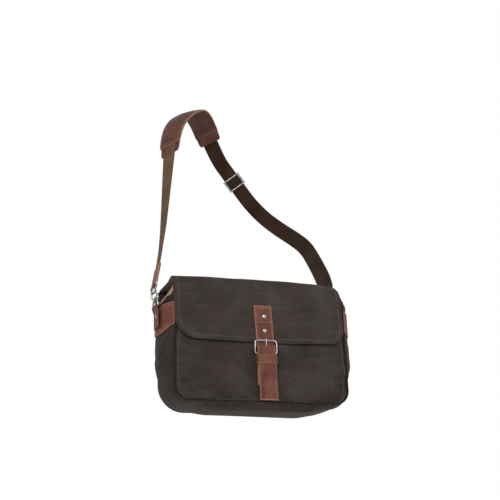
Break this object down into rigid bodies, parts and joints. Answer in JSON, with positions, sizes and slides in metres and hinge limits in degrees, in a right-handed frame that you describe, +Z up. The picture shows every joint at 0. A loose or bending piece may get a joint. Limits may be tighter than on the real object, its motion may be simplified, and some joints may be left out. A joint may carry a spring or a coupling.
{
  "type": "messenger bag",
  "caption": "Waxed canvas messenger bag with a buckled front flap, leather side bands and a long webbing shoulder strap with a leather pad, as it hangs when worn.",
  "frame": {"origin": "underside of the shoulder pad, where it rests on top of the wearer's left shoulder", "axes": "+Z up, +Y towards the wearer's front (the bag's flap faces -Y), +X to the right when looking at the flap"},
  "size_m": [0.4638, 0.3864, 0.7845],
  "materials": {
    "canvas": "waxed cotton canvas, matt, mottled",
    "welt": "waxed canvas turned over cord",
    "lining": "khaki cotton lining",
    "foam": "foam padding",
    "board": "stiffener board",
    "leather": "oiled pull-up leather, satin",
    "pad_base": "soft leather over foam",
    "webbing": "woven cotton webbing",
    "nickel": "polished nickel plate"
  },
  "bodies": {
    "strap": {"strap_webbing": "webbing", "shoulder_pad_cover": "leather", "shoulder_pad_base": "pad_base", "strap_end_left": "leather", "strap_end_right": "leather", "swivel_eye_left": "nickel", "swivel_eye_right": "nickel"},
    "slider": {"strap_slider": "nickel"},
    "hook_left": {"snap_hook_left": "nickel"},
    "hook_right": {"snap_hook_right": "nickel"},
    "gate_left": {"hook_gate_left": "nickel"},
    "gate_right": {"hook_gate_right": "nickel"},
    "bag": {"front_panel": "canvas", "front_padding": "foam", "back_panel": "canvas", "back_padding": "foam", "gusset": "canvas", "gusset_padding": "foam", "front_welt": "welt", "back_welt": "welt", "lining": "lining", "base_board": "board", "snap_socket": "nickel", "side_band_left": "leather", "side_band_right": "leather", "ring_tab_left": "leather", "ring_tab_right": "leather", "tab_rivet_left": "nickel", "tab_rivet_right": "nickel", "mouth_facing_left": "lining", "mouth_facing_right": "lining"},
    "ring_left": {"d_ring_left": "nickel"},
    "ring_right": {"d_ring_right": "nickel"},
    "flap_top": {"flap_top_canvas": "canvas", "flap_top_lining": "lining"},
    "flap_front": {"flap_front_canvas": "canvas", "flap_front_lining": "lining", "closure_belt": "leather", "closure_chape": "leather", "belt_rivets": "nickel", "belt_rivet_caps": "nickel", "snap_stud": "nickel"},
    "buckle": {"buckle_frame": "nickel"},
    "prong": {"buckle_prong": "nickel"},
    "keeper": {"belt_keeper": "leather"}
  },
  "joints": [
    {"name": "bag_swing", "type": "hinge", "parent": "strap", "child": "bag", "pos_m": [0.066, -0.165, -0.543], "axis": [1, 0, 0], "range_deg": [-15, 15]},
    {"name": "flap_open", "type": "hinge", "parent": "bag", "child": "flap_top", "pos_m": [0.066, -0.105, -0.492], "axis": [-1, 0, 0], "range_deg": [0, 60]},
    {"name": "flap_bend", "type": "hinge", "parent": "flap_top", "child": "flap_front", "pos_m": [0.066, -0.231, -0.4915], "axis": [-1, 0, 0], "range_deg": [0, 72]},
    {"name": "buckle_tilt", "type": "hinge", "parent": "flap_front", "child": "buckle", "pos_m": [0.066, -0.242, -0.654], "axis": [1, 0, 0], "range_deg": [0, 6]},
    {"name": "prong_lift", "type": "hinge", "parent": "buckle", "child": "prong", "pos_m": [0.066, -0.242, -0.654], "axis": [1, 0, 0], "range_deg": [0, 30]},
    {"name": "keeper_slide", "type": "slide", "parent": "flap_front", "child": "keeper", "axis": [0, 0, 1], "range_m": [-0.006, 0.001]},
    {"name": "slider_slide", "type": "slide", "parent": "strap", "child": "slider", "axis": [0.6309, 0.1, -0.7694], "range_m": [-0.018, 0.018]},
    {"name": "ring_left_tilt", "type": "hinge", "parent": "bag", "child": "ring_left", "pos_m": [-0.1452, -0.165, -0.543], "axis": [0, 1, 0], "range_deg": [-3, 3]},
    {"name": "hook_left_swivel", "type": "hinge", "parent": "strap", "child": "hook_left", "pos_m": [-0.1452, -0.165, -0.543], "axis": [0, 0.2233, 0.9748], "range_deg": [-20, 20]},
    {"name": "gate_left_spring", "type": "hinge", "parent": "hook_left", "child": "gate_left", "pos_m": [-0.1508, -0.15745, -0.51005], "axis": [0, -0.9748, 0.2233], "range_deg": [0, 20], "stiffness_Nm_per_rad": 0.02, "springref_deg": -17.19},
    {"name": "ring_right_tilt", "type": "hinge", "parent": "bag", "child": "ring_right", "pos_m": [0.2772, -0.165, -0.543], "axis": [0, 1, 0], "range_deg": [-3, 3]},
    {"name": "hook_right_swivel", "type": "hinge", "parent": "strap", "child": "hook_right", "pos_m": [0.2772, -0.165, -0.543], "axis": [0, 0.6717, 0.7408], "range_deg": [-20, 20]},
    {"name": "gate_right_spring", "type": "hinge", "parent": "hook_right", "child": "gate_right", "pos_m": [0.2828, -0.1423, -0.51796], "axis": [0, 0.7408, -0.6717], "range_deg": [0, 20], "stiffness_Nm_per_rad": 0.02, "springref_deg": -17.19}
  ],
  "couplings": [
    {"joint": "flap_bend", "follows": "flap_open", "ratio": 1.2}
  ]
}
